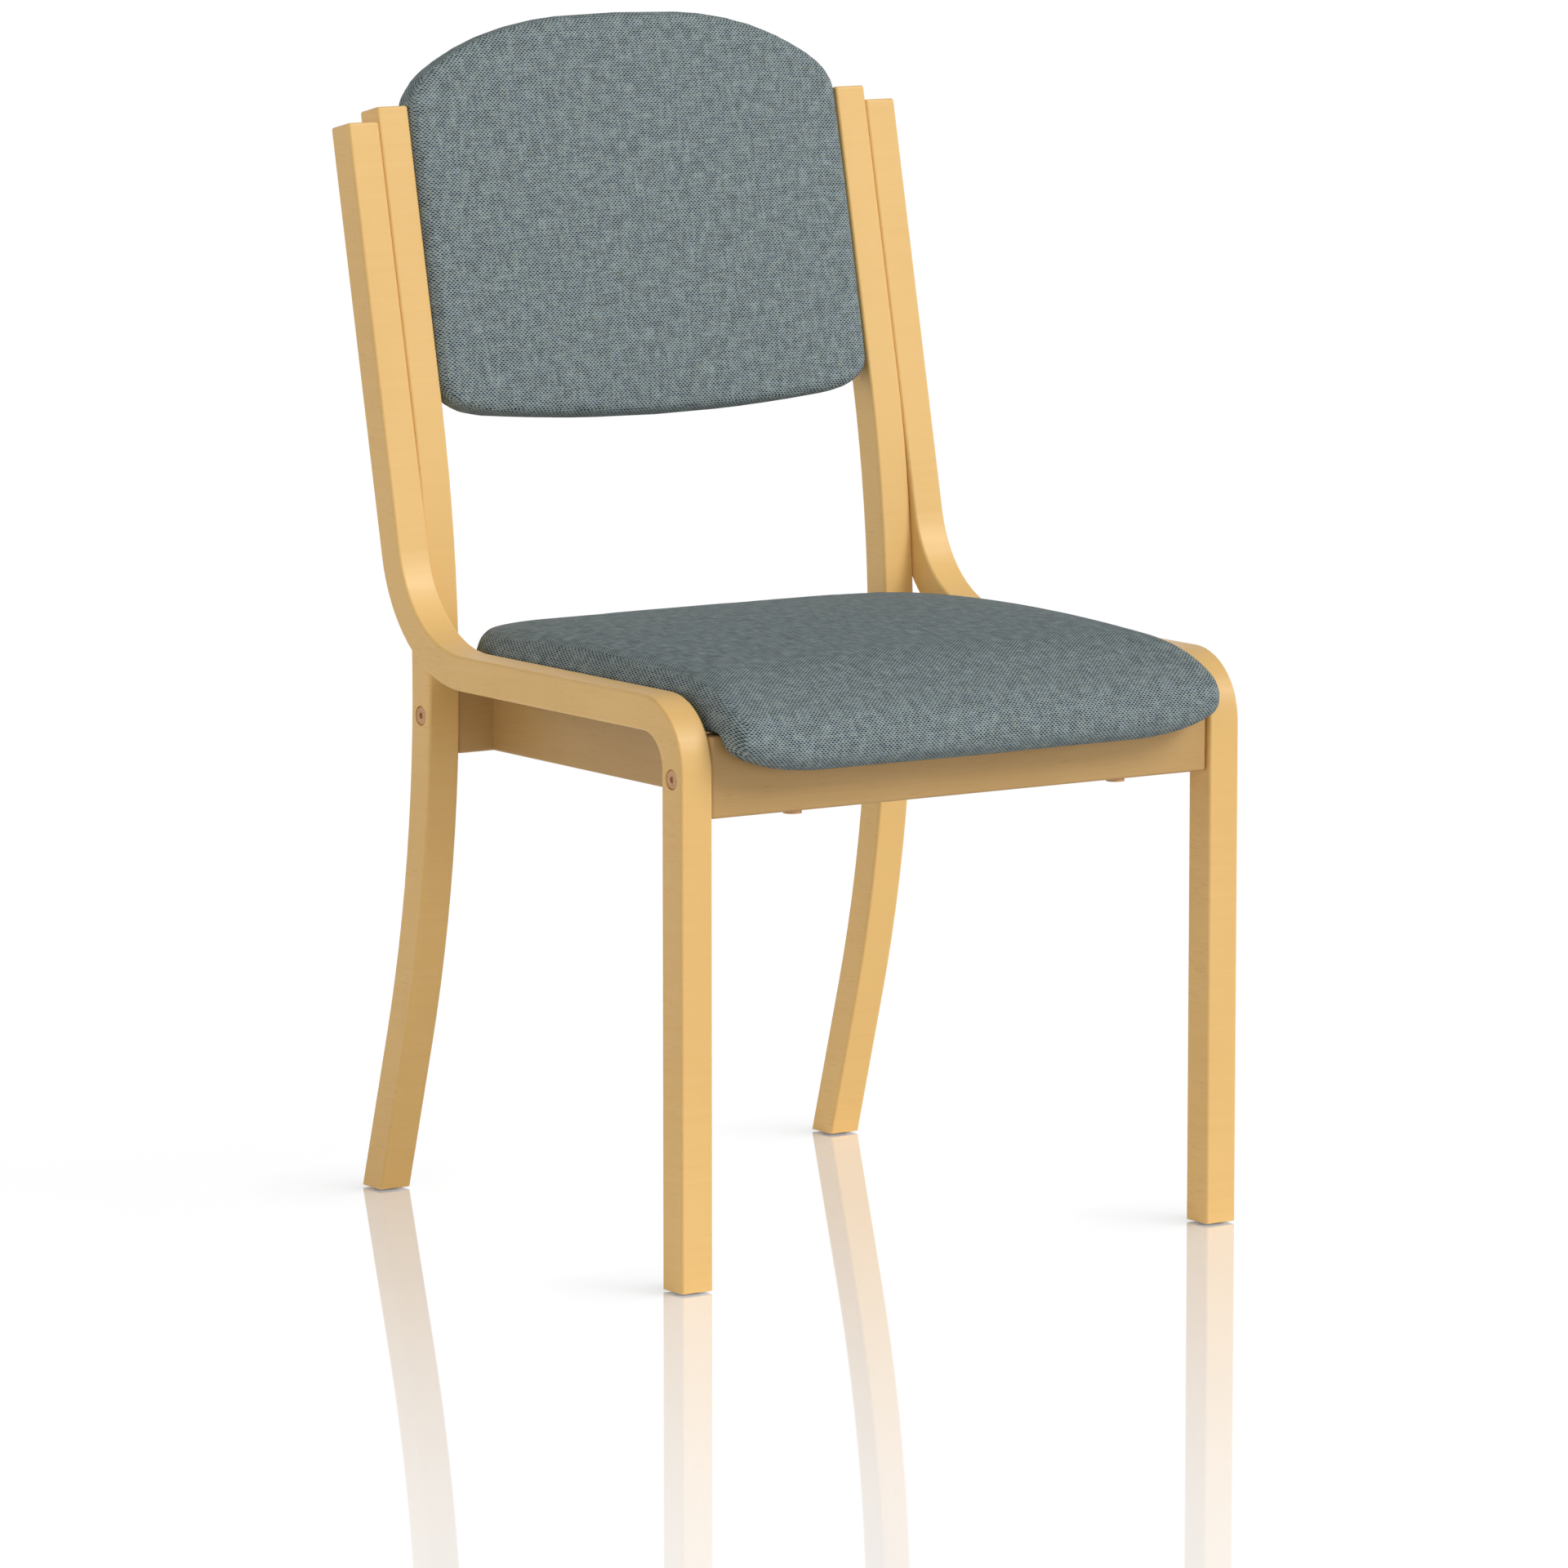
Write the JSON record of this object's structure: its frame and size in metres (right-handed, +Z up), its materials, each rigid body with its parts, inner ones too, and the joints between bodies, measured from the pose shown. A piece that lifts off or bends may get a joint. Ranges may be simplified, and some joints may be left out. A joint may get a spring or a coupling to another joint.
{
  "type": "visitor chair",
  "caption": "Armless visitor chair with bent laminated wood side frames, splayed rear legs, a waterfall-front upholstered seat and an arched upholstered back.",
  "frame": {"origin": "on the floor, under the middle of the chair's bounding box", "axes": "+Z up, the sitter looks along -Y, +X to the right of someone who faces the chair from its front"},
  "size_m": [0.5, 0.5228, 0.8988],
  "materials": {
    "beech": "clear lacquer, satin",
    "plywood": "raw",
    "dowel_beech": "raw",
    "bronzed_steel": "bronze plated, satin",
    "zinc_steel": "zinc plated",
    "upholstery": "flat woven, blue-grey",
    "foam": "open cell foam",
    "lining": "thin dust cloth",
    "glide_plastic": "matt"
  },
  "bodies": {
    "root": {"left_side_bow": "beech", "right_side_bow": "beech", "left_rear_upright": "beech", "right_rear_upright": "beech", "front_rail": "beech", "rear_rail": "beech", "left_side_rail": "beech", "right_side_rail": "beech", "leg_bolts": "bronzed_steel", "barrel_nuts": "zinc_steel", "rail_dowels": "dowel_beech", "side_rail_dowels": "dowel_beech", "post_dowels": "dowel_beech", "front_seat_bolts": "bronzed_steel", "rear_seat_bolts": "bronzed_steel", "seat_tee_nuts": "zinc_steel", "seat_board": "plywood", "seat_foam": "foam", "seat_cover": "upholstery", "seat_lining": "lining", "back_board": "plywood", "back_foam": "foam", "back_cover": "upholstery", "back_lining": "upholstery", "back_pins": "zinc_steel", "foot_glides": "glide_plastic", "glide_nails": "zinc_steel"}
  },
  "joints": []
}
